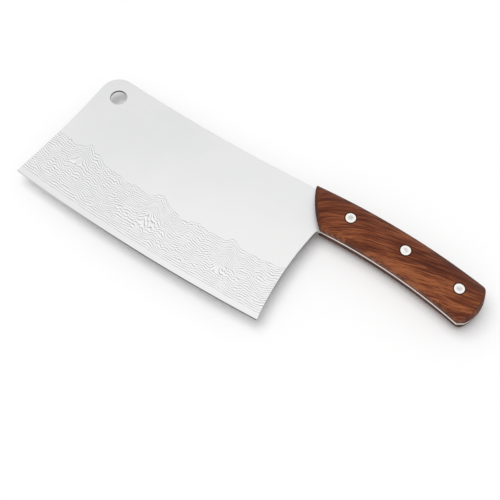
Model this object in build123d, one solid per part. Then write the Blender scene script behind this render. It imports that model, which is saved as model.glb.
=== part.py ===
from build123d import *
import os
from math import degrees, sqrt

# Chinese cleaver: a blade with a full tang, two wooden scales and three two-part rivets.
# Lengths are in millimetres and angles in degrees. The cleaver is made lying flat. The mid-plane
# of the steel is z = 0, the front end of the cutting edge is at x = 0, y = 0, +X runs along the
# edge to the heel and on to the butt of the handle, and +Y runs from the edge to the spine. At the
# end all pieces move together, so that the origin is below the middle of the whole cleaver, at
# the height of the lowest point of the handle.

# Blade outline. A bow stands out of the steel and a hollow curves into it.
edge_length = 180.4          # cutting edge, from its front corner straight to the heel
edge_bow = 3.2               # belly of the cutting edge
front_height = 94.1          # where front and spine would meet without the corner round
front_lean = 6.5             # how far the top of the front lies behind its foot
front_hollow = 1.95
front_corner_radius = 12.5
spine_rise = 0.3             # how much higher the spine is at the handle than at the front
spine_hollow = 2.8
neck_lean = 15.2             # how far the end of the spine lies in front of the top of the heel
heel_lean = 1.4              # how far the top of the heel lies in front of its foot
heel_hollow = 2.75
choil_radius = 3.5

# Handle outline, which the tang and both scales share
handle_width = 24.4          # from the top of the heel up to the end of the spine
handle_length = 119.0        # along the spine side, from the blade to the butt corner
handle_droop = 2.5           # how much lower the spine side is at the butt
handle_bow = 3.65
underside_droop = 6.3
underside_hollow = 3.6
butt_lean = 3.7              # how far the underside ends in front of the butt corner
butt_chamfer_length = 3.8    # the chamfer's size along X
butt_chamfer_rise = 2.6      # and along Y
butt_bow = 4.1
butt_corner_radius = 9.0

# Steel section. The widths are heights above the cutting edge.
tang_thickness = 2.2
blade_thickness = 2.1        # less than the tang's, because the faces of the blade are polished
tang_lead = 0.3              # how far the tang's thickness runs on in front of the scales
grind_width = 50.0           # the thinned part of the blade
shoulder_width = 4.8         # the plain strip between the etched face and the bevel
shoulder_thickness = 0.95
bevel_width = 0.8            # the sharpened bevel
bevel_thickness = 0.4
edge_land = 0.06             # thickness left at the cutting edge
edge_break = 0.3             # rounding along the spine and the front corner

# Hanging hole
hole_diameter = 11.0
hole_inset = 13.8            # from its centre to the front and to the spine
hole_break = 0.2             # chamfer round both mouths

# Scales
scale_height = 10.0          # from the tang to the middle of the crown
crown_radius = 20.0          # of the domed outside, across the handle
flank_radius = 5.5           # rounding between the dome and the upright sides
scale_top_lead = 0.8         # how far its top front corner lies in front of the end of the spine
scale_low_lag = 1.8          # how far its low front corner lies behind the top of the heel
scale_front_bow = 1.7
front_draft = 0.9            # how far the front end leans back from the tang to the crown
butt_draft = 2.2             # how far the butt is drawn in from the tang to the crown
butt_straight_share = 0.2    # the part of that draft that is straight, the rest curves in
butt_lead_angle = 12         # between the scale's corner round and its flank, where they meet
crease_break = 0.2           # chamfer along the front and butt edges of the crown

# Rivets
rivet_head_diameter = 6.5
rivet_socket_diameter = 4.2  # outside of the hollow stem
rivet_post_diameter = 2.8
rivet_seat_height = 7.2      # from the tang to the seats of the heads
rivet_web = 1.5              # solid metal left between the bore and the seat
rivet_gap = 0.5              # left between a stem's end and what it points at
rivet_fit = 0.02             # radial, between post and bore
rivet_hole_clearance = 0.1   # radial, round stems and heads
rivet_front_inset = 29.65    # from the end of the spine to the first rivet, along X
rivet_rear_inset = 12.55     # from the last rivet to the butt corner
rivet_names = ("front", "middle", "rear")

# How far tools that cut and trim reach past the surfaces that they cut
overrun = 6.0
trim_reach = 12.0

# Sections that a scale is lofted through, heights at which its butt is drawn in, and how squarely
# a face looks along the handle to count as one of its ends
station_count = 11
level_shares = (0, 0.5, 1, 1.4)
end_facing_share = 0.3

half_tang = tang_thickness / 2
half_blade = blade_thickness / 2
front_foot = Vector(0, 0)
heel_foot = Vector(edge_length, 0)
front_top = Vector(front_lean, front_height)
spine_end = Vector(edge_length - heel_lean - neck_lean, front_height + spine_rise)
heel_top = spine_end + Vector(neck_lean, -handle_width)
butt_top = spine_end + Vector(handle_length, -handle_droop)
underside_end = Vector(butt_top.X - butt_lean, heel_top.Y - underside_droop)
butt_low = underside_end + Vector(butt_chamfer_length, butt_chamfer_rise)

# The sides of the outline, walked round with the steel on the right hand, so that a bow has a
# positive rise and a hollow a negative one.
front_side = SagittaArc(front_foot, front_top, -front_hollow)
spine_side = SagittaArc(front_top, spine_end, -spine_hollow)
handle_side = SagittaArc(spine_end, butt_top, handle_bow)
butt_side = SagittaArc(butt_top, butt_low, butt_bow)
butt_chamfer = Line(butt_low, underside_end)
underside = SagittaArc(underside_end, heel_top, -underside_hollow)
heel_side = SagittaArc(heel_top, heel_foot, -heel_hollow)
cutting_edge = SagittaArc(heel_foot, front_foot, edge_bow)


def height_on(arc, x):
    """The y of an arc of the handle's outline, which both rise above their centres, at x."""
    centre = arc.arc_center
    return centre.Y + sqrt(arc.radius**2 - (x - centre.X) ** 2)


def middle_on(x):
    """The y half way between the two long sides of the handle, at x."""
    return (height_on(handle_side, x) + height_on(underside, x)) / 2


def lengthened(arc, before, after):
    """The same arc, longer by the given lengths at its start and its end."""
    centre = arc.arc_center
    start, end = (arc.position_at(share) - centre for share in (0, 1))
    angle = start.get_signed_angle(end, Vector(0, 0, 1))
    sense = 1 if angle > 0 else -1
    first_angle = Vector(1, 0).get_signed_angle(start, Vector(0, 0, 1))
    before_angle, after_angle = (sense * degrees(extra / arc.radius) for extra in (before, after))
    size = angle + before_angle + after_angle
    return CenterArc(centre, arc.radius, first_angle - before_angle, size)


def rounded(sketch, corner, radius):
    """The sketch with the corner nearest to the given place rounded."""
    return fillet(sketch.vertices().sort_by_distance(corner)[0], radius)


def steel_outline():
    """The face of blade and tang together, in the mid-plane."""
    sides = [front_side, spine_side, handle_side, butt_side]
    sides += [butt_chamfer, underside, heel_side, cutting_edge]
    face = make_face(Curve() + sides)
    for corner, radius in (
        (front_top, front_corner_radius),
        (butt_top, butt_corner_radius),
        (heel_top, choil_radius),
    ):
        face = rounded(face, corner, radius)
    return face


def grind_tool():
    """What grinding takes off above the mid-plane, turned round the centre of the edge's arc."""
    centre = cutting_edge.arc_center
    radius = cutting_edge.radius
    slope = (half_blade - shoulder_thickness / 2) / (grind_width - shoulder_width)
    profile = (
        (-overrun, edge_land / 2),
        (0, edge_land / 2),
        (bevel_width, bevel_thickness / 2),
        (shoulder_width, shoulder_thickness / 2),
        (grind_width + overrun, half_blade + overrun * slope),
        (grind_width + overrun, half_blade + overrun),
        (-overrun, half_blade + overrun),
    )
    # The profile stands upright on a line from the arc's centre to the edge.
    points = [(centre.X, centre.Y - radius + width, height) for width, height in profile]
    face = make_face(Polyline(*points, close=True))
    half_turn = degrees((edge_length / 2 + overrun) / radius)
    axis = Axis((centre.X, centre.Y, 0), (0, 0, 1))
    return revolve(face.rotate(axis, -half_turn), axis, half_turn + half_turn)


def hole_place():
    """The centre of the hanging hole, as far from the front as from the spine."""
    x = front_side.position_at(1).X + hole_inset
    centre = spine_side.arc_center
    spine_y = centre.Y - sqrt(spine_side.radius**2 - (x - centre.X) ** 2)
    return Vector(x, spine_y - hole_inset)


def rivet_places():
    """The rivets' centres, half way between the two long sides of the handle."""
    first = spine_end.X + rivet_front_inset
    spacing = (butt_top.X - rivet_rear_inset - first) / (len(rivet_names) - 1)
    stations = [first + index * spacing for index in range(len(rivet_names))]
    return [Vector(x, middle_on(x)) for x in stations]


def peg(place, radius, low, high):
    """An upright round bar between two heights."""
    return Pos(place.X, place.Y, low) * extrude(Circle(radius), high - low)


def front_outline(inset):
    """All that lies behind the front end of a scale, with that end moved back by inset."""
    high_x = spine_end.X - scale_top_lead
    low_x = heel_top.X + scale_low_lag
    low = Vector(low_x, height_on(underside, low_x))
    high = Vector(high_x, height_on(handle_side, high_x))
    arc = lengthened(SagittaArc(low, high, scale_front_bow), trim_reach, trim_reach)
    arc = Pos(inset, 0) * arc
    low, high = arc @ 0, arc @ 1
    far_x = butt_top.X + butt_bow + trim_reach
    return make_face(Curve() + [arc, Polyline(high, (far_x, high.Y), (far_x, low.Y), low)])


def make_blade():
    """Blade and tang in one. The tang keeps its thickness and its square edges."""
    outline = steel_outline()
    tang_region = front_outline(-tang_lead)
    steel = extrude(outline - tang_region, half_blade, both=True)
    spine_middle = spine_side @ 0.5
    spine_edges = [
        steel.edges().sort_by_distance(spine_middle + Vector(0, 0, height))[0]
        for height in (-half_blade, half_blade)
    ]
    # The spine's edges run on round the front corner and down the front.
    steel = fillet(spine_edges, edge_break)
    tool = grind_tool()
    steel = steel - tool - mirror(tool, Plane.XY)
    steel -= peg(hole_place(), hole_diameter / 2, -blade_thickness, blade_thickness)
    mouths = [
        edge
        for edge in steel.edges().filter_by(GeomType.CIRCLE)
        if abs(edge.radius - hole_diameter / 2) < hole_break
    ]
    steel = chamfer(mouths, hole_break)
    steel += extrude(outline & tang_region, half_tang, both=True)
    for place in rivet_places():
        radius = rivet_socket_diameter / 2 + rivet_hole_clearance
        steel -= peg(place, radius, -tang_thickness, tang_thickness)
    return steel


def scale_section(x):
    """The scale's section at x: upright sides, round flanks and a domed crown, on the tang."""
    half = (height_on(handle_side, x) - height_on(underside, x)) / 2
    # Centres of the crown's arc and of the right flank's, which touches the crown from inside
    crown_centre = Vector(0, scale_height - crown_radius)
    reach = half - flank_radius
    drop = sqrt((crown_radius - flank_radius) ** 2 - reach**2)
    flank_centre = crown_centre + Vector(reach, drop)
    slant = (flank_centre - crown_centre).normalized()
    meet = crown_centre + slant * crown_radius
    bulge = flank_centre + (slant + Vector(1, 0)).normalized() * flank_radius
    right = [(half, 0), (half, flank_centre.Y), (bulge.X, bulge.Y), (meet.X, meet.Y)]
    left = [(-across, height) for across, height in right]
    sides = [
        Line(right[0], right[1]),
        ThreePointArc(right[1], right[2], right[3]),
        ThreePointArc(right[3], (0, scale_height), left[3]),
        ThreePointArc(left[3], left[2], left[1]),
        Line(left[1], left[0]),
        Line(left[0], right[0]),
    ]
    place = Plane(origin=(x, middle_on(x), half_tang), x_dir=(0, 1, 0), z_dir=(1, 0, 0))
    return place * make_face(Curve() + sides)


def scale_bar():
    """The domed bar that a scale is cut from, longer than the scale at both ends."""
    start = spine_end.X - scale_top_lead - overrun
    step = (butt_top.X + butt_bow + overrun - start) / (station_count - 1)
    return loft([scale_section(start + index * step) for index in range(station_count)], ruled=True)


def butt_outline(inset):
    """All that lies in front of the butt of a scale, with the butt moved forward by inset."""
    lead = (handle_side % 1).rotate(Axis.Z, -butt_lead_angle)
    far_x = spine_end.X - scale_top_lead - trim_reach
    far_high = butt_top + lead * ((far_x - butt_top.X) / lead.X)
    chamfer_run = (underside_end - butt_low).normalized() * trim_reach
    chamfer_end = underside_end + chamfer_run
    rest = Polyline(butt_low, chamfer_end, (far_x, chamfer_end.Y), far_high, butt_top)
    face = rounded(make_face(Curve() + [butt_side, rest]), butt_top, butt_corner_radius)
    return Pos(-inset, 0) * face


def creased(blank):
    """The blank with the edges round its front end and its butt slightly broken."""
    end_faces = [face for face in blank.faces() if abs(face.normal_at().X) > end_facing_share]
    edges = [edge for face in end_faces for edge in face.edges()]
    # An edge between two end faces is in the list twice, and those on the tang stay sharp.
    rims = [
        edge
        for edge in edges
        if sum(edge.is_same(other) for other in edges) == 1
        and edge.center().Z > half_tang + crease_break
    ]
    return chamfer(rims, crease_break)


def make_scale_blank():
    """The upper scale before it is drilled: the bar, trimmed by the leaning front and butt."""
    butts = []
    for share in level_shares:
        curve = butt_straight_share * share + (1 - butt_straight_share) * share**2
        level = Pos(0, 0, half_tang + scale_height * share)
        butts.append(level * butt_outline(butt_draft * curve))
    front_lean_way = Vector(front_draft, 0, scale_height)
    front = extrude(front_outline(0), scale_height + overrun, dir=front_lean_way)
    return creased(scale_bar() & Pos(0, 0, half_tang) * front & loft(butts))


def drilled(blank):
    """The upper scale with a stepped hole for each rivet, wide enough for its head above."""
    seat = half_tang + rivet_seat_height
    top = half_tang + scale_height + overrun
    for place in rivet_places():
        stem_radius = rivet_socket_diameter / 2 + rivet_hole_clearance
        head_radius = rivet_head_diameter / 2 + rivet_hole_clearance
        blank = blank - peg(place, stem_radius, 0, top) - peg(place, head_radius, seat, top)
    return blank


def rivet_head(place):
    """A head from its seat up to the crown, which it is ground flush with."""
    radius = rivet_head_diameter / 2
    along = Vector(radius, middle_on(place.X + radius) - middle_on(place.X))
    crown_centre = place + Vector(0, 0, half_tang + scale_height - crown_radius)
    crown = extrude(Plane(crown_centre, z_dir=along) * Circle(crown_radius), overrun, both=True)
    seat = half_tang + rivet_seat_height
    return peg(place, radius, seat, half_tang + scale_height + overrun) & crown


def rivet_socket(place):
    """The half with the hollow stem. Its head is in the upper scale."""
    seat = half_tang + rivet_seat_height
    stem = peg(place, rivet_socket_diameter / 2, rivet_gap - seat, seat)
    bore = peg(place, rivet_post_diameter / 2 + rivet_fit, -seat, seat - rivet_web)
    return rivet_head(place) + stem - bore


def rivet_post(place):
    """The half with the solid stem, which is pressed into the hollow one from below."""
    seat = half_tang + rivet_seat_height
    stem = peg(place, rivet_post_diameter / 2, -seat, seat - rivet_web - rivet_gap)
    return mirror(rivet_head(place), Plane.XY) + stem


def make_pieces():
    """Every piece by name, in the working frame."""
    upper_scale = drilled(make_scale_blank())
    pieces = {"blade": make_blade()}
    pieces["upper_scale"] = upper_scale
    pieces["lower_scale"] = mirror(upper_scale, Plane.XY)
    for name, place in zip(rivet_names, rivet_places()):
        pieces[f"{name}_rivet_socket"] = rivet_socket(place)
        pieces[f"{name}_rivet_post"] = rivet_post(place)
    return pieces


pieces = make_pieces()
box = Compound(children=[Compound(piece.wrapped) for piece in pieces.values()]).bounding_box()
shift = Pos(-box.center().X, -box.center().Y, -box.min.Z)
os.makedirs("parts", exist_ok=True)
for name, piece in pieces.items():
    export_step(shift * piece, f"parts/{name}.step")
print("working frame moved by", shift.position)
for name, place in zip(rivet_names, rivet_places()):
    print(name, "rivet at", shift.position + place)
print("hanging hole at", shift.position + hole_place())
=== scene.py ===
from math import atan2, cos, pi, radians, sin, sqrt, tan

import bmesh
import bpy
import numpy as np
from bpy.props import FloatProperty, FloatVectorProperty, IntProperty, PointerProperty
from mathutils import Matrix, Vector


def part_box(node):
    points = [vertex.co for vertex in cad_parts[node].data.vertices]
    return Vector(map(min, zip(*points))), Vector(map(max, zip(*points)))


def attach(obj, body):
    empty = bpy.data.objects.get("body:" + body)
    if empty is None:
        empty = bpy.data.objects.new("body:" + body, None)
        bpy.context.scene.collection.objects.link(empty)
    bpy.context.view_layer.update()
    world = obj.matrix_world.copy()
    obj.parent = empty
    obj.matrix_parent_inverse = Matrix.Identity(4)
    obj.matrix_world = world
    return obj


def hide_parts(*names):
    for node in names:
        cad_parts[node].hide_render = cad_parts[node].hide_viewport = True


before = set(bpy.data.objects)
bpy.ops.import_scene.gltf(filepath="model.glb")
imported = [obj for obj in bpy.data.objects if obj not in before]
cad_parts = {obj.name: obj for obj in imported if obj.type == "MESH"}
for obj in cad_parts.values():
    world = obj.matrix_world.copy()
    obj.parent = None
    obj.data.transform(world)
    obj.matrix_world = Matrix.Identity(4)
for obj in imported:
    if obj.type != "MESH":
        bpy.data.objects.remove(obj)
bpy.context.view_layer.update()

bl_info = {
    "name": "Chinese Cleaver",
    "version": (1, 0, 0),
    "blender": (4, 5, 0),
    "location": "3D View > Sidebar > Cleaver",
    "description": "Dresses a full-tang kitchen cleaver: etched blade, rosewood scales and rivets",
    "category": "Object",
}

MM = 0.001
RIVET_ROWS = ("front", "middle", "rear")


# Node trees

class Value:
    """A number that varies over a surface. Arithmetic on it adds Math nodes to its tree."""

    def __init__(self, tree, socket):
        self.tree = tree
        self.socket = socket

    def math(self, operation, *others, first=None):
        numbers = [self, *others] if first is None else [first, self, *others]
        return self.tree.add("ShaderNodeMath", {"operation": operation}, dict(enumerate(numbers)))

    def __add__(self, other):
        return self.math("ADD", other)

    __radd__ = __add__

    def __sub__(self, other):
        return self.math("SUBTRACT", other)

    def __rsub__(self, other):
        return self.math("SUBTRACT", first=other)

    def __mul__(self, other):
        return self.math("MULTIPLY", other)

    __rmul__ = __mul__

    def __truediv__(self, other):
        return self.math("DIVIDE", other)

    def __pow__(self, other):
        return self.math("POWER", other)

    def __abs__(self):
        return self.math("ABSOLUTE")

    def above(self, low, high):
        """0 where this is under low, 1 where it is over high, and smooth between them."""
        ends = {"Value": self, "From Min": low, "From Max": high}
        kind = {"interpolation_type": "SMOOTHSTEP"}
        return self.tree.add("ShaderNodeMapRange", kind, ends)

    def below(self, low, high):
        """1 where this is under low, 0 where it is over high, and smooth between them."""
        return 1 - self.above(low, high)

    def hill(self, middle, reach):
        """1 where this is middle, falling to 0 a reach away from it on both sides."""
        return abs(self - middle).below(0, reach)


class Tree:
    """A node tree that is filled through add, in shaders and in geometry alike."""

    def __init__(self, node_tree):
        self.nodes = node_tree.nodes
        self.links = node_tree.links

    def add(self, kind, settings=None, inputs=None, output=0):
        """Adds a node, makes its settings, fills its inputs and gives one of its outputs."""
        node = self.nodes.new(kind)
        for name, value in (settings or {}).items():
            if name == "stops":
                self.set_stops(node.color_ramp, value)
            elif name == "curve":
                self.set_curve(node.mapping, value)
            elif name == "items":
                for _ in range(value - len(node.index_switch_items)):
                    node.index_switch_items.new()
            else:
                setattr(node, name, value)
        for key, value in (inputs or {}).items():
            self.fill(self.find(node.inputs, key), value)
        return Value(self, self.find(node.outputs, output))

    def find(self, sockets, key):
        """The socket with this place, identifier or name."""
        if isinstance(key, int):
            return sockets[key]
        for socket in sockets:
            if socket.identifier == key:
                return socket
        return next(socket for socket in sockets if socket.name == key and socket.enabled)

    def fill(self, socket, value):
        """Links the socket to a Value, or sets it."""
        if isinstance(value, Value):
            self.links.new(value.socket, socket)
        else:
            socket.default_value = value

    def set_stops(self, ramp, stops):
        while len(ramp.elements) < len(stops):
            ramp.elements.new(1)
        for element, (position, colour) in zip(ramp.elements, stops):
            element.position = position
            element.color = (*colour, 1)

    def set_curve(self, mapping, points):
        curve = mapping.curves[0]
        mapping.use_clip = False
        while len(curve.points) < len(points):
            curve.points.new(1, 1)
        for point, place in zip(curve.points, points):
            point.location = place
        mapping.update()

    def place(self):
        """The Object coordinates: the vector, and its three numbers in metres."""
        vector = self.add("ShaderNodeTexCoord", output="Object")
        return vector, *self.split(vector)

    def split(self, vector):
        node = self.add("ShaderNodeSeparateXYZ", inputs={0: vector}).socket.node
        return [Value(self, socket) for socket in node.outputs]

    def join(self, x, y, z):
        return self.add("ShaderNodeCombineXYZ", inputs={0: x, 1: y, 2: z})

    def noise(self, vector, scale=1.0, detail=2.0, roughness=0.5):
        """Noise between 0 and 1 that is mostly near 0.5."""
        inputs = {"Vector": vector, "Scale": scale, "Detail": detail, "Roughness": roughness}
        return self.add("ShaderNodeTexNoise", {"noise_dimensions": "3D"}, inputs)

    def mix(self, factor, first, second):
        """Two colours mixed, the second by the factor."""
        inputs = {"Factor_Float": factor}
        for key, colour in (("A_Color", first), ("B_Color", second)):
            inputs[key] = colour if isinstance(colour, Value) else (*colour, 1)
        return self.add("ShaderNodeMix", {"data_type": "RGBA"}, inputs, "Result_Color")

    def bump(self, height, distance, strength):
        return self.add("ShaderNodeBump", inputs={
            "Height": height, "Distance": distance, "Strength": strength,
        }, output="Normal")


def new_material(name):
    """A material with an empty tree but for its Principled shader."""
    material = bpy.data.materials.new(name)
    material.use_nodes = True
    return material, Tree(material.node_tree), material.node_tree.nodes["Principled BSDF"]


def dress(tree, shader, **values):
    """Sets the shader's sockets, named with underscores for spaces."""
    for name, value in values.items():
        tree.fill(shader.inputs[name.replace("_", " ").title().replace("Ior", "IOR")], value)


# Sizes and colours that a user may change

class SteelSettings(bpy.types.PropertyGroup):
    colour: FloatVectorProperty(
        name="Steel", description="Colour of the ground faces", subtype="COLOR",
        default=(0.79, 0.79, 0.79),
    )
    cloud_colour: FloatVectorProperty(
        name="Clouds", description="Colour of the soft clouds and specks in the polish",
        subtype="COLOR", default=(0.735, 0.74, 0.75),
    )
    # Painted sheen that the ground faces get towards the heel and the edge
    painted_sheen_colour: FloatVectorProperty(
        name="Light Steel", description="Colour of the ground faces towards the heel and the edge",
        subtype="COLOR", default=(0.92, 0.92, 0.915),
    )
    # Painted highlight on the crests beside the etched lines
    crest_highlight_colour: FloatVectorProperty(
        name="Crests", description="Colour of the burnished crests beside the etched lines",
        subtype="COLOR", default=(1.0, 1.0, 1.0),
    )
    line_colour: FloatVectorProperty(
        name="Etched Lines", description="Colour of the lines where the etch has bitten",
        subtype="COLOR", default=(0.29, 0.29, 0.30),
    )
    # Painted shade on the outline faces and the honed edge; also the darker sides of the tang's
    # edge
    shade_and_joint_colour: FloatVectorProperty(
        name="Outline", description="Colour of the honed edge and the sawn outline",
        subtype="COLOR", default=(0.20, 0.19, 0.19),
    )
    tang_colour: FloatVectorProperty(
        name="Tang", description="Colour of the tang's polished edge between the scales",
        subtype="COLOR", default=(1.0, 0.87, 0.79),
    )
    edge_length: FloatProperty(
        name="Edge Length", description="Cutting edge, straight from its front to the heel",
        unit="LENGTH", default=180.4 * MM,
    )
    edge_bow: FloatProperty(
        name="Edge Bow", description="Belly of the cutting edge", unit="LENGTH", default=3.2 * MM,
    )
    plain_width: FloatProperty(
        name="Plain Strip", description="Bright strip between the edge and the first etched line",
        unit="LENGTH", default=4.9 * MM,
    )
    bevel_width: FloatProperty(
        name="Bevel", description="Width of the honed bevel", unit="LENGTH", default=0.8 * MM,
    )
    neck_lean: FloatProperty(
        name="Neck", description="How far the top of the heel lies behind the scales' front",
        unit="LENGTH", default=16.5 * MM,
    )
    line_count: IntProperty(
        name="Etched Lines", description="Lines between the plain strip and the top of the etch",
        default=21,
    )


class HandleSettings(bpy.types.PropertyGroup):
    front_top: FloatVectorProperty(
        name="Front Top", description="Where the spine ends and the handle's back begins",
        size=2, unit="LENGTH", default=(20.325 * MM, 47.547 * MM),
    )
    rear_top: FloatVectorProperty(
        name="Rear Top", description="Upper corner of the butt, without its rounding",
        size=2, unit="LENGTH", default=(139.325 * MM, 45.047 * MM),
    )
    front_low: FloatVectorProperty(
        name="Front Low", description="Where the heel meets the underside",
        size=2, unit="LENGTH", default=(35.525 * MM, 23.147 * MM),
    )
    rear_low: FloatVectorProperty(
        name="Rear Low", description="Rear end of the underside", size=2, unit="LENGTH",
        default=(135.625 * MM, 16.847 * MM),
    )
    top_bow: FloatProperty(
        name="Back Bow", description="Bow of the handle's back", unit="LENGTH", default=3.65 * MM,
    )
    low_bow: FloatProperty(
        name="Underside Bow", description="How far the underside curves up into the handle",
        unit="LENGTH", default=3.6 * MM,
    )
    chamfer: FloatVectorProperty(
        name="Butt Chamfer", description="Size of the butt's low corner, along and across",
        size=2, unit="LENGTH", default=(3.8 * MM, 2.6 * MM),
    )
    butt_bow: FloatProperty(
        name="Butt Bow", description="Bow of the butt", unit="LENGTH", default=4.1 * MM,
    )
    butt_corner: FloatProperty(
        name="Butt Corner", description="Radius of the butt's upper corner", unit="LENGTH",
        default=9.0 * MM,
    )
    butt_lead: FloatProperty(
        name="Butt Lead", description="Angle at which that rounding meets the back",
        subtype="ANGLE", default=radians(12),
    )
    butt_draft: FloatProperty(
        name="Butt Draft", description="How far the butt is drawn in at the crown",
        unit="LENGTH", default=2.2 * MM,
    )
    front_lead: FloatProperty(
        name="Front Lead", description="How far the scale reaches over the spine",
        unit="LENGTH", default=0.8 * MM,
    )
    front_lag: FloatProperty(
        name="Front Lag", description="How far the scale stays behind the heel",
        unit="LENGTH", default=1.8 * MM,
    )
    front_bow: FloatProperty(
        name="Front Bow", description="Bow of the scale's front end", unit="LENGTH",
        default=1.7 * MM,
    )
    front_draft: FloatProperty(
        name="Front Draft", description="How far the front end leans back at the crown",
        unit="LENGTH", default=0.9 * MM,
    )
    crown_radius: FloatProperty(
        name="Crown Radius", description="Of the domed outside, across the handle",
        unit="LENGTH", default=20 * MM,
    )
    flank_radius: FloatProperty(
        name="Flank Radius", description="Rounding between the dome and the upright sides",
        unit="LENGTH", default=5.5 * MM,
    )
    crease: FloatProperty(
        name="Crease", description="Rounding along the front and butt edges", unit="LENGTH",
        default=0.5 * MM,
    )
    deep_colour: FloatVectorProperty(
        name="Deep Wood", description="Darkest streaks", subtype="COLOR",
        default=(0.064, 0.0155, 0.008),
    )
    wood_colour: FloatVectorProperty(
        name="Wood", description="The wood between the streaks", subtype="COLOR",
        default=(0.142, 0.037, 0.0160),
    )
    warm_colour: FloatVectorProperty(
        name="Warm Wood", description="Light orange streaks and patches", subtype="COLOR",
        default=(0.32, 0.104, 0.040),
    )
    # End grain's own dark colour, also used for painted shade on the back, the lower sides, round
    # the rivets and along the joints
    end_grain_and_shade_colour: FloatVectorProperty(
        name="End Grain", description="Dark ends, and the dark rings round the rivets",
        subtype="COLOR", default=(0.022, 0.009, 0.007),
    )
    grain_angle: FloatProperty(
        name="Grain Angle", description="How far the grain rises towards the butt",
        subtype="ANGLE", default=radians(11),
    )
    grain_bend: FloatProperty(
        name="Grain Bend", description="How far the grain swings up at the front end",
        unit="LENGTH", default=24 * MM,
    )
    grain_bend_reach: FloatProperty(
        name="Grain Bend Reach", description="How fast that swing dies away along the handle",
        unit="LENGTH", default=17 * MM,
    )


class RivetSettings(bpy.types.PropertyGroup):
    colour: FloatVectorProperty(
        name="Rivets", description="Colour of the polished heads", subtype="COLOR",
        default=(0.97, 0.94, 0.90),
    )
    middle_colour: FloatVectorProperty(
        name="Middle", description="Colour of their duller middle and of the scuffs",
        subtype="COLOR", default=(0.50, 0.50, 0.50),
    )
    head_diameter: FloatProperty(
        name="Head", description="Diameter of the heads", unit="LENGTH", default=6.5 * MM,
    )
    stem_diameter: FloatProperty(
        name="Stem", description="Diameter of the hollow stems", unit="LENGTH",
        default=4.2 * MM,
    )
    post_diameter: FloatProperty(
        name="Post", description="Diameter of the posts pressed into the stems",
        unit="LENGTH", default=2.8 * MM,
    )
    seat_height: FloatProperty(
        name="Seat", description="From the tang to the seats of the heads", unit="LENGTH",
        default=7.2 * MM,
    )
    rim: FloatProperty(
        name="Rim", description="Rounding round the heads", unit="LENGTH", default=0.25 * MM,
    )
    gap: FloatProperty(
        name="Gap", description="Between heads and wood", unit="LENGTH", default=0.1 * MM,
    )
    web: FloatProperty(
        name="Web", description="Solid metal between a hollow stem's bore and its head's seat",
        unit="LENGTH", default=1.5 * MM,
    )
    stem_gap: FloatProperty(
        name="Stem Gap", description="Left between a stem's end and what it points at",
        unit="LENGTH", default=0.5 * MM,
    )


class StageSettings(bpy.types.PropertyGroup):
    floor_colour: FloatVectorProperty(
        name="Floor", description="Colour of the floor", subtype="COLOR",
        default=(0.96, 0.96, 0.96),
    )
    camera_place: FloatVectorProperty(
        name="Camera", description="Where the camera stands", unit="LENGTH",
        default=(136.575 * MM, -219.303 * MM, 533.37 * MM),
    )
    camera_aim: FloatVectorProperty(
        name="Aim", description="The point in the middle of the view", unit="LENGTH",
        default=(8.588 * MM, -10.803 * MM, 11.1 * MM),
    )
    camera_lens: FloatProperty(
        name="Lens", description="Focal length on a 36 mm frame, in millimetres",
        default=68.4,
    )
    world_strength: FloatProperty(
        name="Surroundings", description="Brightness of the white surroundings", default=0.52,
    )
    lamp_place: FloatVectorProperty(
        name="Lamp Place", description="Where the lamp shines from, towards the origin",
        unit="LENGTH", default=(-0.6, -0.15, 2.5),
    )
    lamp_power: FloatProperty(
        name="Lamp", description="Strength of the large soft lamp, in watts a square metre",
        default=1.75,
    )
    lamp_width: FloatProperty(
        name="Lamp Width", description="Angle that the lamp takes up", subtype="ANGLE",
        default=radians(50),
    )


# The blade

ETCH_FULL_HEIGHT = 50 * MM
# Waves in the lines: shift of a line, length along the edge, extent up from it, seed and detail
ETCH_WAVES = (
    (5.0 * MM, 8.0 * MM, 14 * MM, 0.0, 1.0),
    (2.2 * MM, 2.3 * MM, 9 * MM, 3.0, 2.0),
)
# Along the edge, and up from it as a part of the full height, where the etch ends
ETCH_TOP_SHARES = (
    (0.0, 0.75), (0.03, 0.744), (0.083, 0.732), (0.122, 0.745), (0.183, 0.734), (0.222, 0.724),
    (0.26, 0.692), (0.294, 0.678), (0.36, 0.694), (0.45, 0.708), (0.515, 0.694), (0.593, 0.646),
    (0.637, 0.68), (0.693, 0.696), (0.76, 0.688), (0.84, 0.66), (0.887, 0.694), (0.95, 0.716),
    (1.0, 0.732),
)
# Peaks of the figure: along the edge, height where the lines begin to rise to it, height in
# which they do so, their rise, and reach before and after the peak
ETCH_PEAKS = (
    (28 * MM, 25 * MM, 6 * MM, 5.2 * MM, 6 * MM, 17 * MM),
    (87 * MM, 13 * MM, 12 * MM, 6.0 * MM, 8 * MM, 26 * MM),
    (142 * MM, 14 * MM, 6 * MM, 5.0 * MM, 6 * MM, 22 * MM),
)
# Height above a peak in which its lines settle again, and by what part of its rise they do so
ETCH_PEAK_REACH = 16 * MM
ETCH_PEAK_SETTLING = 0.5
# Powers of the slopes before a peak, which is steep, and after it, which flattens out
ETCH_PEAK_POWERS = (1.3, 2.3)
# Above the plain strip, height in which the waves grow to their full size
ETCH_WAVE_GROWTH = 6 * MM
# Half the width of the dark lines, and the middle and half the width of the crests between them,
# as parts of the distance from line to line
LINE_SHARE = 0.19
CREST_PLACE, CREST_SHARE = 0.34, 0.24
# Length and width of the scratches and of the specks in the polish
SCRATCH_SIZE = (30 * MM, 0.14 * MM)
SPECK_SIZE = (2.2 * MM, 0.9 * MM)


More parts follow.
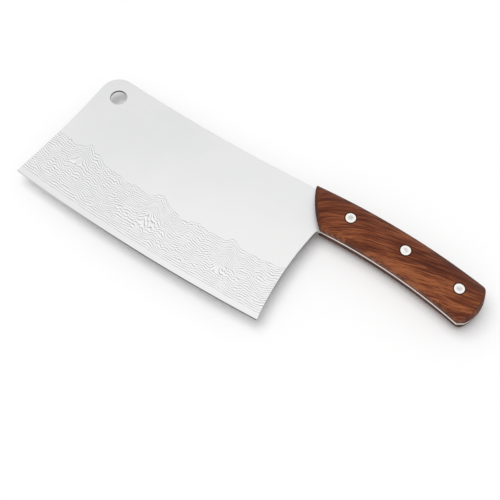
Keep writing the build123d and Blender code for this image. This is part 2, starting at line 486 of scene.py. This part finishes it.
def etched_lines(tree, steel, along, height):
    """How far up through the etched lines a point is, from 0 to 1, and where they leave eyes."""
    lift = blank = 0.0
    for shift, length, extent, seed, detail in ETCH_WAVES:
        wave = tree.noise(tree.join(along / length, height / extent, seed), detail=detail)
        lift = lift + (wave - 0.5) * shift
    rising, falling = ETCH_PEAK_POWERS
    for place, base, growth, rise, before, after in ETCH_PEAKS:
        front = ((along - (place - before)) / before).math("MAXIMUM", 0.0) ** rising
        back = (((place + after) - along) / after).math("MAXIMUM", 0.0) ** falling
        slope = front.math("MINIMUM", back)
        over = ((height - base) / growth).math("MAXIMUM", 0.0).math("MINIMUM", 1.0)
        crest = base + growth
        settling = height.above(crest, crest + ETCH_PEAK_REACH) * ETCH_PEAK_SETTLING
        lift = lift + slope * over * (1 - settling) * rise
        spread = slope * (rise / growth)
        blank = blank + spread.above(0.6, 0.75) * over.above(0.0, 0.15) * over.below(0.85, 1.0)
    # The lowest lines stay parallel to the edge.
    grown = height.above(steel.plain_width, steel.plain_width + ETCH_WAVE_GROWTH)
    settled = height - lift * (grown + 0.3)
    shares = {"curve": ETCH_TOP_SHARES}
    top = tree.add("ShaderNodeFloatCurve", shares, {"Value": along / steel.edge_length})
    top = top * ETCH_FULL_HEIGHT
    return (settled - steel.plain_width) / (top - steel.plain_width), blank


def ground_steel(tree, steel, along, height):
    """Colour of the ground faces, and the fine scratches that run along them."""
    vector, x, y, z = tree.place()
    length, width = SCRATCH_SIZE
    brushed = tree.noise(tree.join(x / length, y / width, z / MM), detail=3.0, roughness=0.6)
    length, width = SPECK_SIZE
    specks = tree.noise(tree.join(x / length, y / width, z / MM))
    cloud = tree.noise(vector, scale=24.0)
    colour = tree.mix(cloud.above(0.35, 0.65) * 0.6, steel.colour, steel.cloud_colour)
    colour = tree.mix(specks.above(0.3, 0.7) * 0.25, colour, steel.cloud_colour)
    colour = tree.mix(abs(brushed - 0.5) * 0.5, colour, steel.line_colour)
    # Painted sheen: the ground faces are painted brighter towards the heel and the edge.
    painted_sheen = along.above(0, steel.edge_length) * 0.45 + height.below(20 * MM, 90 * MM) * 0.3
    return tree.mix(painted_sheen, colour, steel.painted_sheen_colour), brushed


def blade_material(steel):
    """Satin steel with an etched wood-grain figure above the edge, brushed along its length."""
    material, tree, shader = new_material("blade_steel")
    low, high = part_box("blade")
    _, x, y, z = tree.place()
    radius = (steel.edge_length**2 / 4 + steel.edge_bow**2) / (2 * steel.edge_bow)
    along = x - low.x
    across = (along - steel.edge_length / 2) / radius
    rise = (y - low.y) / radius
    # Height above the edge's arc, worked out without the difference of two large numbers
    height = (rise - (across * across + rise * rise) / 2) * radius
    level, blank = etched_lines(tree, steel, along, height)
    inside = level.above(-0.01, 0.0) * level.below(1.0, 1.01)
    step = level * steel.line_count
    phase = step - step.math("FLOOR")
    fade = tree.noise(tree.join(along / (7 * MM), step, 0)).above(0.34, 0.6)
    inside = inside * (1 - blank * 0.8)
    dark = phase.hill(0.0, LINE_SHARE) + phase.hill(1.0, LINE_SHARE)
    cut = dark * inside * (fade * 0.6 + 0.4)
    crest_and_highlight = phase.hill(CREST_PLACE, CREST_SHARE) * inside * (fade * 0.6 + 0.4)
    colour, brushed = ground_steel(tree, steel, along, height)
    # Painted highlight on the crests; their relief is in the bump as well.
    colour = tree.mix(crest_and_highlight, colour, steel.crest_highlight_colour)
    colour = tree.mix(cut, colour, steel.line_colour)
    # Between the scales the tang's edge is bright, and darker towards both faces of the tang.
    # Elsewhere the outline faces get painted shade, darker than the ground faces, and so does the
    # honed edge, with less of it towards the front.
    normal = tree.split(tree.add("ShaderNodeNewGeometry", output="True Normal"))
    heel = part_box("upper_scale")[0].x + steel.neck_lean
    side = abs(normal[2]).below(0.35, 0.6)
    # The scales begin further forward at the spine than at the heel.
    lead = y.above(30 * MM, 40 * MM) * steel.neck_lean
    # Painted shade on the outline faces in front of the scales.
    shaded = side * (x + lead).below(heel, heel + MM)
    middle = (low.z + high.z) / 2
    # Darker towards both faces of the tang's edge.
    face_darkening = abs(z - middle).above(0.25 * MM, 0.65 * MM) * 0.85
    tang = tree.mix(face_darkening, steel.tang_colour, steel.shade_and_joint_colour)
    colour = tree.mix(side, colour, tang)
    # Painted shade on the honed edge, lighter towards the front.
    honed = height.below(steel.bevel_width * 0.75, steel.bevel_width)
    honed = honed * (along.above(20 * MM, 90 * MM) * 0.7 + 0.3)
    colour = tree.mix((shaded + honed).math("MINIMUM", 1.0), colour, steel.shade_and_joint_colour)
    rough = brushed * 0.12 + cut * 0.12 + 0.27
    height_map = brushed * 0.12 - cut + crest_and_highlight * 0.35
    dress(
        tree, shader, base_color=colour, metallic=1.0, roughness=rough,
        normal=tree.bump(height_map, 0.03 * MM, 0.5),
    )
    return material


class CLEAVER_OT_blade(bpy.types.Operator):
    """Give the blade and its tang their brushed and etched steel"""

    bl_idname = "cleaver.blade"
    bl_label = "Finish Blade"

    def execute(self, context):
        give_material(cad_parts["blade"], blade_material(context.scene.cleaver_steel))
        return {"FINISHED"}


# The scales

# Points along the butt's corner and bow, rows along a scale and down each end, and points up a
# section's upright side, round its flank and over its crown
CORNER_POINTS, BUTT_POINTS = 24, 60
BAR_ROWS, CAP_ROWS = 110, 14
UPRIGHT_POINTS, FLANK_POINTS, CROWN_POINTS = 4, 14, 49
# Steps in which a point of the bar is brought onto the curve of its end
MEETING_STEPS = 80
# The part of the butt's draft that is straight. The rest curves in.
BUTT_STRAIGHT_SHARE = 0.2
# The most of an end's depth that its rounded edge may take up, and where that has points
CREASE_LIMIT = 0.45
CREASE_STEPS = (0.2, 0.4, 0.6, 0.8)
# How near points are merged, and how short edges are dissolved
POINT_REACH, EDGE_REACH = 0.002 * MM, 0.001 * MM
DRILL_SIDES = 64
SHARP_ANGLE = radians(32)


def flat_arc(start, end, bow):
    """Centre and radius of an arc that stands above the line from start to end by bow."""
    start, end = Vector(start), Vector(end)
    chord = end - start
    radius = (chord.length**2 / 4 + bow**2) / (2 * bow)
    up = Vector((-chord.y, chord.x)).normalized()
    return (start + end) / 2 - up * (radius - bow), radius


def on_arc(centre, radius, first, last, count):
    """Points along an arc, from one angle to another."""
    angles = (first + (last - first) * share for share in np.linspace(0, 1, count))
    return [centre + radius * Vector((cos(angle), sin(angle))) for angle in angles]


def height_on(arc, x):
    """The y of an arc above its centre, at x."""
    centre, radius = arc
    return centre.y + np.sqrt(radius**2 - (x - centre.x) ** 2)


class ScaleForm:
    """The outside of one scale, above the face of the tang at height 0."""

    def __init__(self, handle, height):
        self.handle = handle
        self.height = height
        self.back = flat_arc(handle.front_top, handle.rear_top, handle.top_bow)
        self.underside = flat_arc(handle.front_low, handle.rear_low, handle.low_bow)
        self.front = self.front_arc()
        self.butt_x, self.butt_y = self.butt_curve()

    def front_arc(self):
        handle = self.handle
        high_x = handle.front_top[0] - handle.front_lead
        low_x = handle.front_low[0] + handle.front_lag
        low = (low_x, height_on(self.underside, low_x))
        high = (high_x, height_on(self.back, high_x))
        return flat_arc(low, high, handle.front_bow)

    def butt_curve(self):
        """The butt's outline at the tang, as x for rising y."""
        handle = self.handle
        top = Vector(handle.rear_top)
        end = Vector(handle.rear_low)
        low = end + Vector(handle.chamfer)
        centre, radius = flat_arc(top, low, handle.butt_bow)
        slope = -(top.x - self.back[0].x) / (top.y - self.back[0].y)
        lead = Vector((1, slope)).normalized()
        lead.rotate(Matrix.Rotation(-handle.butt_lead, 2))
        # The corner's centre is its radius away from the lead and from the inside of the butt.
        corner = handle.butt_corner
        inward = Vector((lead.y, -lead.x))
        base = top + inward * corner - centre
        reach = radius - corner
        share = base.dot(lead) ** 2 - base.length_squared + reach**2
        middle = centre + base + lead * (-base.dot(lead) + sqrt(share))
        first = atan2(-inward.y, -inward.x)
        last = atan2(middle.y - centre.y, middle.x - centre.x)
        stop = atan2(low.y - centre.y, low.x - centre.x)
        # The lines at both ends run on past the sections.
        points = [top + lead * (-handle.front_low[0]), middle - inward * corner]
        points += on_arc(middle, corner, first, last, CORNER_POINTS)
        points += on_arc(centre, radius, last, stop, BUTT_POINTS)[1:]
        points.append(end + (end - low) * 3)
        return np.array([tuple(point) for point in reversed(points)]).T

    def section(self, x, part, share):
        """Across and up, for each x, of a place on the section's upright, flank or crown."""
        handle = self.handle
        crown, flank = handle.crown_radius, handle.flank_radius
        half = (height_on(self.back, x) - height_on(self.underside, x)) / 2
        reach = half - flank
        drop = np.sqrt((crown - flank) ** 2 - reach**2)
        side = self.height - crown + drop
        slant = np.arctan2(drop, reach)
        turn = slant + (pi - 2 * slant) * share
        edge = slant * share
        across = np.choose(part, (half, reach + flank * np.cos(edge), crown * np.cos(turn)))
        top = self.height - crown + crown * np.sin(turn)
        return across, np.choose(part, (side * share, side + flank * np.sin(edge), top))

    def point(self, x, part, share, side):
        """The place on the bar at each x. side is -1 for the mirrored half of the section."""
        across, up = self.section(x, part, share)
        middle = (height_on(self.back, x) + height_on(self.underside, x)) / 2
        return np.stack([x, middle + across * side, up], axis=-1)

    def front_x(self, y, z):
        """Where the front end is, at a place across and up."""
        centre, radius = self.front
        lean = self.handle.front_draft * z / self.height
        return centre.x - np.sqrt(radius**2 - (y - centre.y) ** 2) + lean

    def butt_x_at(self, y, z):
        """Where the butt is, at a place across and up."""
        share = z / self.height
        curve = BUTT_STRAIGHT_SHARE * share + (1 - BUTT_STRAIGHT_SHARE) * share**2
        inset = self.handle.butt_draft * curve
        return np.interp(y, self.butt_y, self.butt_x) - inset


def scale_mesh(name, form, base, sense):
    """A scale as rows of points from its front end over the crown and down the butt."""
    handle = form.handle
    part, share, side = section_places()

    def on_bar(x):
        return form.point(x, part, share, side)

    def meeting(end_x, start):
        x = np.full(len(part), start)
        for _ in range(MEETING_STEPS):
            place = on_bar(x)
            x = end_x(place[:, 1], place[:, 2])
        return x

    first = meeting(form.front_x, handle.front_low[0])
    last = meeting(form.butt_x_at, handle.rear_low[0])
    caps = []
    for end_x, x, inward in ((form.front_x, first, 1), (form.butt_x_at, last, -1)):
        rim = on_bar(x)
        lengths = np.linalg.norm(np.diff(rim, axis=0), axis=1)
        run = np.concatenate([[0], np.cumsum(lengths)]) / lengths.sum()
        foot = rim[0] + (rim[-1] - rim[0]) * run[:, None]
        foot[:, 2] = 0
        way = foot - rim
        depth = np.linalg.norm(way[:, 1:], axis=1)
        crease = np.minimum(handle.crease, depth * CREASE_LIMIT)

        def on_cap(amount):
            spot = rim + way * amount[:, None]
            spot[:, 0] = end_x(spot[:, 1], spot[:, 2])
            return spot

        start = crease / np.maximum(depth, 1e-9)
        shoulder = on_bar(x + inward * crease)
        inner = on_cap(start)
        cap = [shoulder]
        for t in CREASE_STEPS:
            cap.append((1 - t) ** 2 * shoulder + 2 * t * (1 - t) * rim + t**2 * inner)
        cap += [on_cap(start + (1 - start) * step) for step in np.linspace(0, 1, CAP_ROWS)]
        caps.append((cap, x + inward * crease))
    (front, front_x), (butt, butt_x) = caps
    rows = front[::-1]
    steps = np.linspace(0, 1, BAR_ROWS)[1:-1]
    rows += [on_bar(front_x + (butt_x - front_x) * step) for step in steps]
    rows += butt
    count = len(part)
    points = np.concatenate(rows)
    points[:, 2] = base + sense * points[:, 2]
    corners = (row * count + column for row in range(len(rows) - 1) for column in range(count - 1))
    faces = [(corner, corner + 1, corner + count + 1, corner + count) for corner in corners]
    mesh = bpy.data.meshes.new(name)
    mesh.from_pydata(points.tolist(), [], faces)
    close_up(mesh)
    return mesh


def section_places():
    """Part, share and side of each point round a section, from one foot to the other."""
    right = [(0, share, 1) for share in np.linspace(0, 1, UPRIGHT_POINTS + 1)[:-1]]
    right += [(1, share, 1) for share in np.linspace(0, 1, FLANK_POINTS + 1)[:-1]]
    crown = [(2, share, 1) for share in np.linspace(0, 1, CROWN_POINTS)]
    left = [(part, share, -1) for part, share, _ in reversed(right)]
    return [np.array(column) for column in zip(*right, *crown, *left)]


def close_up(mesh):
    """Merges doubles, closes the flat underside and turns the faces outwards."""
    work = bmesh.new()
    work.from_mesh(mesh)
    bmesh.ops.remove_doubles(work, verts=work.verts, dist=POINT_REACH)
    bmesh.ops.dissolve_degenerate(work, edges=work.edges, dist=EDGE_REACH)
    rim = [edge for edge in work.edges if edge.is_boundary]
    bmesh.ops.contextual_create(work, geom=rim)
    bmesh.ops.recalc_face_normals(work, faces=work.faces)
    work.to_mesh(mesh)
    work.free()


def cylinder(work, place, radius, low, high):
    """Adds an upright cylinder between two heights to a bmesh."""
    turn = Matrix.Translation((place.x, place.y, (low + high) / 2))
    bmesh.ops.create_cone(
        work, cap_ends=True, segments=DRILL_SIDES, radius1=radius, radius2=radius,
        depth=abs(high - low), matrix=turn,
    )


def rivet_place(row):
    """The centre of a rivet, from the frame."""
    low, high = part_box(f"{row}_rivet_socket")
    return (low + high) / 2


def drill(scale, rivets, base, sense):
    """Cuts the stepped rivet holes into a scale."""
    seat = base + sense * rivets.seat_height
    past = base + sense * rivets.seat_height * 2
    under = base - sense * rivets.seat_height
    for radius, start in (
        (rivets.stem_diameter / 2 + rivets.gap, under),
        (rivets.head_diameter / 2 + rivets.gap, seat),
    ):
        work = bmesh.new()
        for row in RIVET_ROWS:
            cylinder(work, rivet_place(row), radius, start, past)
        mesh = bpy.data.meshes.new("drill")
        work.to_mesh(mesh)
        work.free()
        drill_bits = add_object("drill", mesh)
        cut = scale.modifiers.new("holes", "BOOLEAN")
        cut.operation = "DIFFERENCE"
        cut.solver = "EXACT"
        cut.object = drill_bits
        settle(scale)
        bpy.data.objects.remove(drill_bits)


def add_object(name, data):
    """A new object in the scene."""
    thing = bpy.data.objects.new(name, data)
    bpy.context.scene.collection.objects.link(thing)
    return thing


def settle(thing):
    """Turns what the modifiers make into the object's own plain mesh."""
    view = bpy.context.evaluated_depsgraph_get()
    mesh = bpy.data.meshes.new_from_object(thing.evaluated_get(view))
    thing.modifiers.clear()
    thing.data = mesh


def give_material(thing, material):
    thing.data.materials.clear()
    thing.data.materials.append(material)


def smooth(mesh):
    mesh.shade_smooth()
    mesh.set_sharp_from_angle(angle=SHARP_ANGLE)


# Broad streaks, streaks, fibres and pores: length along the wood, width across it, detail, seed
GRAINS = (
    (60 * MM, 7.0 * MM, 2.0, 30.3),
    (26 * MM, 1.4 * MM, 2.0, 57.1),
    (12 * MM, 0.5 * MM, 3.0, 9.2),
    (2.2 * MM, 0.2 * MM, 2.0, 17.0),
)
# How far the wood's slow bends and its ripples shift the grain, and the bends its depth
BEND_SHIFT, RIPPLE_SHIFT, DEPTH_SHIFT = 8 * MM, 0.8 * MM, 5 * MM
# Where the tone of the wood turns deep, middling and warm
TONES = (0.41, 0.50, 0.60)
# Where the painted shade round a rivet fades, from its head, and the painted shade along the
# joints, from the tang's middle
RING_SHADE_FADE = (0.4 * MM, 1.0 * MM)
JOINT_SHADE_FADE = (1.3 * MM, 2.2 * MM)


def wood_material(handle, rivets):
    """Rosewood: warm and dark streaks at a slant, fine fibres and pores, painted shade round
    rivets.
    """
    material, tree, shader = new_material("rosewood")
    vector, x, y, z = tree.place()
    low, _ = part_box("upper_scale")
    bend = tree.noise(vector, scale=24.0)
    ripple = tree.noise(vector, scale=150.0)
    # The grain rises steeply at the front end and bends over towards the butt.
    run = x - low.x
    swing = handle.grain_bend * (run * (-1 / handle.grain_bend_reach)).math("EXPONENT")
    across = y - run * tan(handle.grain_angle) + swing
    across = across + (bend - 0.5) * BEND_SHIFT + (ripple - 0.5) * RIPPLE_SHIFT
    deep = z + (bend - 0.5) * DEPTH_SHIFT

    def grain(length, width, detail, seed):
        spot = tree.join(run / length + seed, across / width, deep / (width * 5))
        return tree.noise(spot, detail=detail)

    broad, streak, fibre, pore = (grain(*kind) for kind in GRAINS)
    pores = pore.above(0.6, 0.7)
    # The wood is lighter towards the underside.
    light = (handle.rear_top[1] - y).above(0, handle.rear_top[1] - handle.front_low[1]) * 0.05
    tone = broad * 0.32 + streak * 0.26 + fibre * 0.42 + light - 0.03
    colours = (handle.deep_colour, handle.wood_colour, handle.warm_colour)
    stops = {"stops": list(zip(TONES, colours))}
    colour = tree.add("ShaderNodeValToRGB", stops, {"Fac": tone})
    colour = tree.mix(pores * 0.6, colour, handle.deep_colour)
    # End grain is darker, partly its own colour and partly painted shade, and the butt gets less of
    # it than the front end. The back and the lower scale's sides get painted shade.
    normal = tree.split(tree.add("ShaderNodeNewGeometry", output="True Normal"))
    end = abs(normal[0]).above(0.5, 0.7) * (1 - normal[0].above(0.0, 0.5) * 0.4)
    middle = (low.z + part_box("lower_scale")[1].z) / 2
    # Painted shade on the faces turned to the back and on the lower scale's sides.
    back = normal[1].above(0.3, 0.5).math("MAXIMUM", z.below(middle - MM, middle))
    side = abs(normal[2]).below(0.64, 0.9) * back
    colour = tree.mix((end * 0.65).math("MAXIMUM", side) * 0.68, colour, handle.end_grain_and_shade_colour)
    distance = nearest_rivet(x, y)
    # Painted shade in a ring round each rivet's head.
    ring = distance.below(*(rivets.head_diameter / 2 + fade for fade in RING_SHADE_FADE))
    # Painted shade round the rivets and along the joints beside the tang.
    joint_shade = abs(z - middle).below(*JOINT_SHADE_FADE)
    ring_and_joint_shade = (ring + joint_shade * 0.85).math("MINIMUM", 1.0)
    colour = tree.mix(ring_and_joint_shade * 0.95, colour, handle.end_grain_and_shade_colour)
    dress(
        tree, shader, base_color=colour, specular_ior_level=0.12,
        roughness=fibre * 0.2 + pores * 0.2 + end * 0.3 + 0.36,
        normal=tree.bump(fibre * 0.5 - pores, 0.06 * MM, 0.6),
    )
    return material


def nearest_rivet(x, y):
    """Distance from the middle of the nearest rivet."""
    places = [rivet_place(row) for row in RIVET_ROWS]
    first, second, third = (((x - place.x) ** 2 + (y - place.y) ** 2) ** 0.5 for place in places)
    return first.math("MINIMUM", second).math("MINIMUM", third)


class CLEAVER_OT_scales(bpy.types.Operator):
    """Build the two domed rosewood scales, drilled for the rivets"""

    bl_idname = "cleaver.scales"
    bl_label = "Build Scales"

    def execute(self, context):
        handle = context.scene.cleaver_handle
        rivets = context.scene.cleaver_rivets
        wood = wood_material(handle, rivets)
        for node, sense in (("upper_scale", 1), ("lower_scale", -1)):
            low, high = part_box(node)
            base = low.z if sense > 0 else high.z
            mesh = scale_mesh(node + "_wood", ScaleForm(handle, high.z - low.z), base, sense)
            scale = add_object(node + "_wood", mesh)
            drill(scale, rivets, base, sense)
            smooth(scale.data)
            give_material(scale, wood)
            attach(scale, "root")
            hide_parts(node)
        return {"FINISHED"}


# The rivets

RIVET_NUMBERS = (
    "Head Radius", "Rim", "Top", "Seat", "Crown Radius", "Stem Radius", "Stem End", "Bore Radius",
    "Bore End", "Tang Face", "Side",
)
RIVET_SIDES = 72


def rivet_tree():
    """Rivet halves turned on their points: a head ground to the crown, a stem, and its bore.

    Heights are above the face of the tang, and Side is -1 for the halves below it.
    """
    group = bpy.data.node_groups.new("rivet_halves", "GeometryNodeTree")
    kinds = {"Places": "Geometry"} | dict.fromkeys(RIVET_NUMBERS, "Float")
    for name, kind in (kinds | {"Material": "Material"}).items():
        group.interface.new_socket(name=name, in_out="INPUT", socket_type="NodeSocket" + kind)
    group.interface.new_socket(name="Halves", in_out="OUTPUT", socket_type="NodeSocketGeometry")
    tree = Tree(group)
    given = tree.add("NodeGroupInput").socket.node.outputs
    # The last socket of the group's input is the empty one that new inputs are drawn from.
    places, head, rim, top, seat, crown, stem, end, bore, bore_end, face, side, finish = (
        Value(tree, socket) for socket in list(given)[:-1]
    )
    # Radius and height of each ring, from the middle of the head to the bottom of the bore
    ground = [
        (0.0, top), (head * 0.35, top), (head * 0.7, top), (head - rim, top),
        (head - rim * 0.3, top - rim * 0.3), (head, top - rim),
    ]
    rest = [(head, seat), (stem, seat), (stem, end), (bore, end), (bore, bore_end), (0.0, bore_end)]
    rings = ground + rest
    sheet = tree.add("GeometryNodeMeshGrid", inputs={
        "Size X": 1.0, "Size Y": 1.0, "Vertices X": len(rings), "Vertices Y": RIVET_SIDES + 1,
    })
    u, v, _ = tree.split(tree.add("GeometryNodeInputPosition"))
    ring = ((u + 0.5) * (len(rings) - 1)).math("ROUND")
    turn = (v + 0.5) * (2 * pi)

    def choose(values):
        inputs = dict(enumerate([ring, *values]))
        settings = {"data_type": "FLOAT", "items": len(values)}
        return tree.add("GeometryNodeIndexSwitch", settings, inputs)

    radius = choose([radius for radius, height in rings])
    height = choose([height for radius, height in rings])
    across = radius * turn.math("SINE")
    fall = (crown * crown - across * across) ** 0.5 - crown
    height = height + fall * ring.math("LESS_THAN", len(ground) - 0.5)
    place = tree.join(radius * turn.math("COSINE"), across, face + height * side)
    half = tree.add("GeometryNodeSetPosition", inputs={"Geometry": sheet, "Position": place})
    angle = tree.add("GeometryNodeInputNamedAttribute", inputs={"Name": "angle"})
    way = tree.add("FunctionNodeEulerToRotation", inputs={0: tree.join(0.0, 0.0, angle)})
    halves = tree.add("GeometryNodeInstanceOnPoints", inputs={
        "Points": places, "Instance": half, "Rotation": way,
    })
    solid = tree.add("GeometryNodeRealizeInstances", inputs={"Geometry": halves})
    done = tree.add("GeometryNodeSetMaterial", inputs={"Geometry": solid, "Material": finish})
    group.links.new(done.socket, group.nodes.new("NodeGroupOutput").inputs[0])
    return group


def rivet_halves(name, group, values):
    """Runs the tree on a point for each rivet, and gives the plain mesh object."""
    places = [rivet_place(row) for row in RIVET_ROWS]
    mesh = bpy.data.meshes.new(name)
    mesh.from_pydata([(place.x, place.y, 0) for place in places], [], [])
    angles = mesh.attributes.new("angle", "FLOAT", "POINT")
    for index, place in enumerate(places):
        before, after = places[max(index - 1, 0)], places[min(index + 1, len(places) - 1)]
        # A parabola through the rivets has this slope at each of them.
        slope = (after.y - before.y) / (after.x - before.x)
        if before == place or after == place:
            whole = (places[-1].y - places[0].y) / (places[-1].x - places[0].x)
            slope = 2 * slope - whole
        angles.data[index].value = atan2(slope, 1)
    halves = add_object(name, mesh)
    modifier = halves.modifiers.new("rivets", "NODES")
    modifier.node_group = group
    for item in group.interface.items_tree:
        if item.in_out == "INPUT" and item.name in values:
            modifier[item.identifier] = values[item.name]
    settle(halves)
    close_up(halves.data)
    smooth(halves.data)
    return halves


class CLEAVER_OT_rivets(bpy.types.Operator):
    """Build the three rivets, each a hollow half from above and a solid half from below"""

    bl_idname = "cleaver.rivets"
    bl_label = "Build Rivets"

    def execute(self, context):
        rivets = context.scene.cleaver_rivets
        handle = context.scene.cleaver_handle
        group = rivet_tree()
        tang_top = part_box("upper_scale")[0].z
        tang_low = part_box("lower_scale")[1].z
        thickness = tang_top - tang_low
        web = rivets.seat_height - rivets.web
        post_end = -thickness - web + rivets.stem_gap
        common = {
            "Head Radius": rivets.head_diameter / 2,
            "Rim": rivets.rim,
            "Top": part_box("upper_scale")[1].z - tang_top,
            "Seat": rivets.seat_height,
            "Crown Radius": handle.crown_radius,
            "Material": rivet_material(rivets),
        }
        socket = {
            "Stem Radius": rivets.stem_diameter / 2,
            "Stem End": -thickness - rivets.seat_height + rivets.stem_gap,
            "Bore Radius": rivets.post_diameter / 2,
            "Bore End": web,
            "Tang Face": tang_top,
            "Side": 1.0,
        }
        post = {
            "Stem Radius": rivets.post_diameter / 2,
            "Stem End": post_end,
            "Bore Radius": 0.0,
            "Bore End": post_end,
            "Tang Face": tang_low,
            "Side": -1.0,
        }
        for half, own in (("socket", socket), ("post", post)):
            halves = rivet_halves(f"rivet_{half}s", group, common | own)
            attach(halves, "root")
            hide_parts(*(f"{row}_rivet_{half}" for row in RIVET_ROWS))
        return {"FINISHED"}


def rivet_material(rivets):
    """Polished steel: a bright rim, a duller middle, and rings and scuffs from the polishing."""
    material, tree, shader = new_material("rivet_steel")
    _, x, y, z = tree.place()
    distance = nearest_rivet(x, y)
    scuff = tree.noise(tree.join(x / (0.9 * MM), y / (0.35 * MM), z / MM), detail=3.0)
    rings = tree.noise(tree.join(distance / (0.16 * MM), 0, 0))
    patch = tree.noise(tree.join(x / (5 * MM), y / (3 * MM), z / MM), detail=1.0)
    middle = (distance + (scuff - 0.5) * (1.6 * MM)).below(1.2 * MM, 2.2 * MM)
    middle = middle * patch.above(0.3, 0.6)
    colour = tree.mix(middle * 0.75, rivets.colour, rivets.middle_colour)
    colour = tree.mix(rings.above(0.5, 0.75) * 0.4, colour, rivets.middle_colour)
    colour = tree.mix(scuff.above(0.5, 0.8) * 0.5, colour, rivets.middle_colour)
    dress(
        tree, shader, base_color=colour, metallic=1.0,
        roughness=scuff * 0.15 + middle * 0.1 + 0.16,
        normal=tree.bump(scuff + rings * 0.5, 0.01 * MM, 0.5),
    )
    return material


# The stage

FLOOR_SIZE = 12.0
FLOOR_SPECK_COLOUR = (0.85, 0.85, 0.85)
# Which way the right-hand side of the view lies
CAMERA_RIGHT = (0.83343, 0.55238, 0.01628)
SENSOR_WIDTH = 36


class CLEAVER_OT_stage(bpy.types.Operator):
    """Set up the floor, the soft lamp, the surroundings and the camera"""

    bl_idname = "cleaver.stage"
    bl_label = "Set Stage"

    def execute(self, context):
        stage = context.scene.cleaver_stage
        self.floor(stage)
        self.surroundings(context, stage)
        self.lamp(stage)
        self.camera(context, stage)
        context.scene.view_settings.view_transform = "Standard"
        return {"FINISHED"}

    def floor(self, stage):
        mesh = bpy.data.meshes.new("floor")
        half = FLOOR_SIZE / 2
        corners = [(-half, -half, 0), (half, -half, 0), (half, half, 0), (-half, half, 0)]
        mesh.from_pydata(corners, [], [(0, 1, 2, 3)])
        floor = add_object("floor", mesh)
        material, tree, shader = new_material("floor")
        paper = tree.noise(tree.place()[0], scale=900.0)
        colour = tree.mix(paper * 0.06, stage.floor_colour, FLOOR_SPECK_COLOUR)
        dress(tree, shader, base_color=colour, roughness=0.9, specular_ior_level=0.1)
        give_material(floor, material)

    def surroundings(self, context, stage):
        """White where it is seen directly, mirrored or through glass, and dimmer as a light."""
        world = bpy.data.worlds.new("studio")
        context.scene.world = world
        world.use_nodes = True
        tree = Tree(world.node_tree)
        back = world.node_tree.nodes["Background"]
        rays = tree.add("ShaderNodeLightPath")
        kinds = ("Is Camera Ray", "Is Glossy Ray", "Is Transmission Ray")
        seen, glossy, passed = (Value(tree, rays.socket.node.outputs[kind]) for kind in kinds)
        white = (seen + glossy + passed).math("MINIMUM", 1.0)
        strength = white * (1 - stage.world_strength) + stage.world_strength
        tree.fill(back.inputs["Strength"], strength)
        back.inputs["Color"].default_value = (1, 1, 1, 1)

    def lamp(self, stage):
        """A far lamp that is as wide as an angle of the sky."""
        lamp = bpy.data.lights.new("key", "SUN")
        lamp.angle = stage.lamp_width
        lamp.energy = stage.lamp_power
        holder = add_object("key", lamp)
        holder.location = stage.lamp_place
        holder.rotation_mode = "QUATERNION"
        holder.rotation_quaternion = (-Vector(stage.lamp_place)).to_track_quat("-Z", "Y")
        # Polished steel shows the white surroundings instead.
        holder.visible_glossy = False

    def camera(self, context, stage):
        data = bpy.data.cameras.new("camera")
        data.lens = stage.camera_lens
        data.sensor_width = SENSOR_WIDTH
        data.clip_start = 0.01
        holder = add_object("camera", data)
        holder.location = stage.camera_place
        back = (Vector(stage.camera_place) - Vector(stage.camera_aim)).normalized()
        right = Vector(CAMERA_RIGHT)
        right = (right - back * right.dot(back)).normalized()
        up = back.cross(right)
        turn = Matrix((right, up, back)).transposed()
        holder.rotation_euler = turn.to_euler()
        context.scene.camera = holder


class CLEAVER_PT_panel(bpy.types.Panel):
    """The steps and sizes of the cleaver"""

    bl_idname = "CLEAVER_PT_panel"
    bl_label = "Cleaver"
    bl_space_type = "VIEW_3D"
    bl_region_type = "UI"
    bl_category = "Cleaver"

    def draw(self, context):
        for operator, name, group in STEPS:
            box = self.layout.box()
            box.operator(operator.bl_idname)
            settings = getattr(context.scene, name)
            for setting in group.__annotations__:
                box.prop(settings, setting)


STEPS = (
    (CLEAVER_OT_blade, "cleaver_steel", SteelSettings),
    (CLEAVER_OT_scales, "cleaver_handle", HandleSettings),
    (CLEAVER_OT_rivets, "cleaver_rivets", RivetSettings),
    (CLEAVER_OT_stage, "cleaver_stage", StageSettings),
)
OPERATORS, NAMES, GROUPS = zip(*STEPS)
CLASSES = (*GROUPS, *OPERATORS, CLEAVER_PT_panel)


def register():
    for one in CLASSES:
        bpy.utils.register_class(one)
    for name, group in zip(NAMES, GROUPS):
        setattr(bpy.types.Scene, name, PointerProperty(type=group))


def unregister():
    for name in NAMES:
        delattr(bpy.types.Scene, name)
    for one in reversed(CLASSES):
        bpy.utils.unregister_class(one)


def main():
    register()
    bpy.ops.cleaver.blade()
    bpy.ops.cleaver.scales()
    bpy.ops.cleaver.rivets()
    bpy.ops.cleaver.stage()


if __name__ == "__main__":
    main()
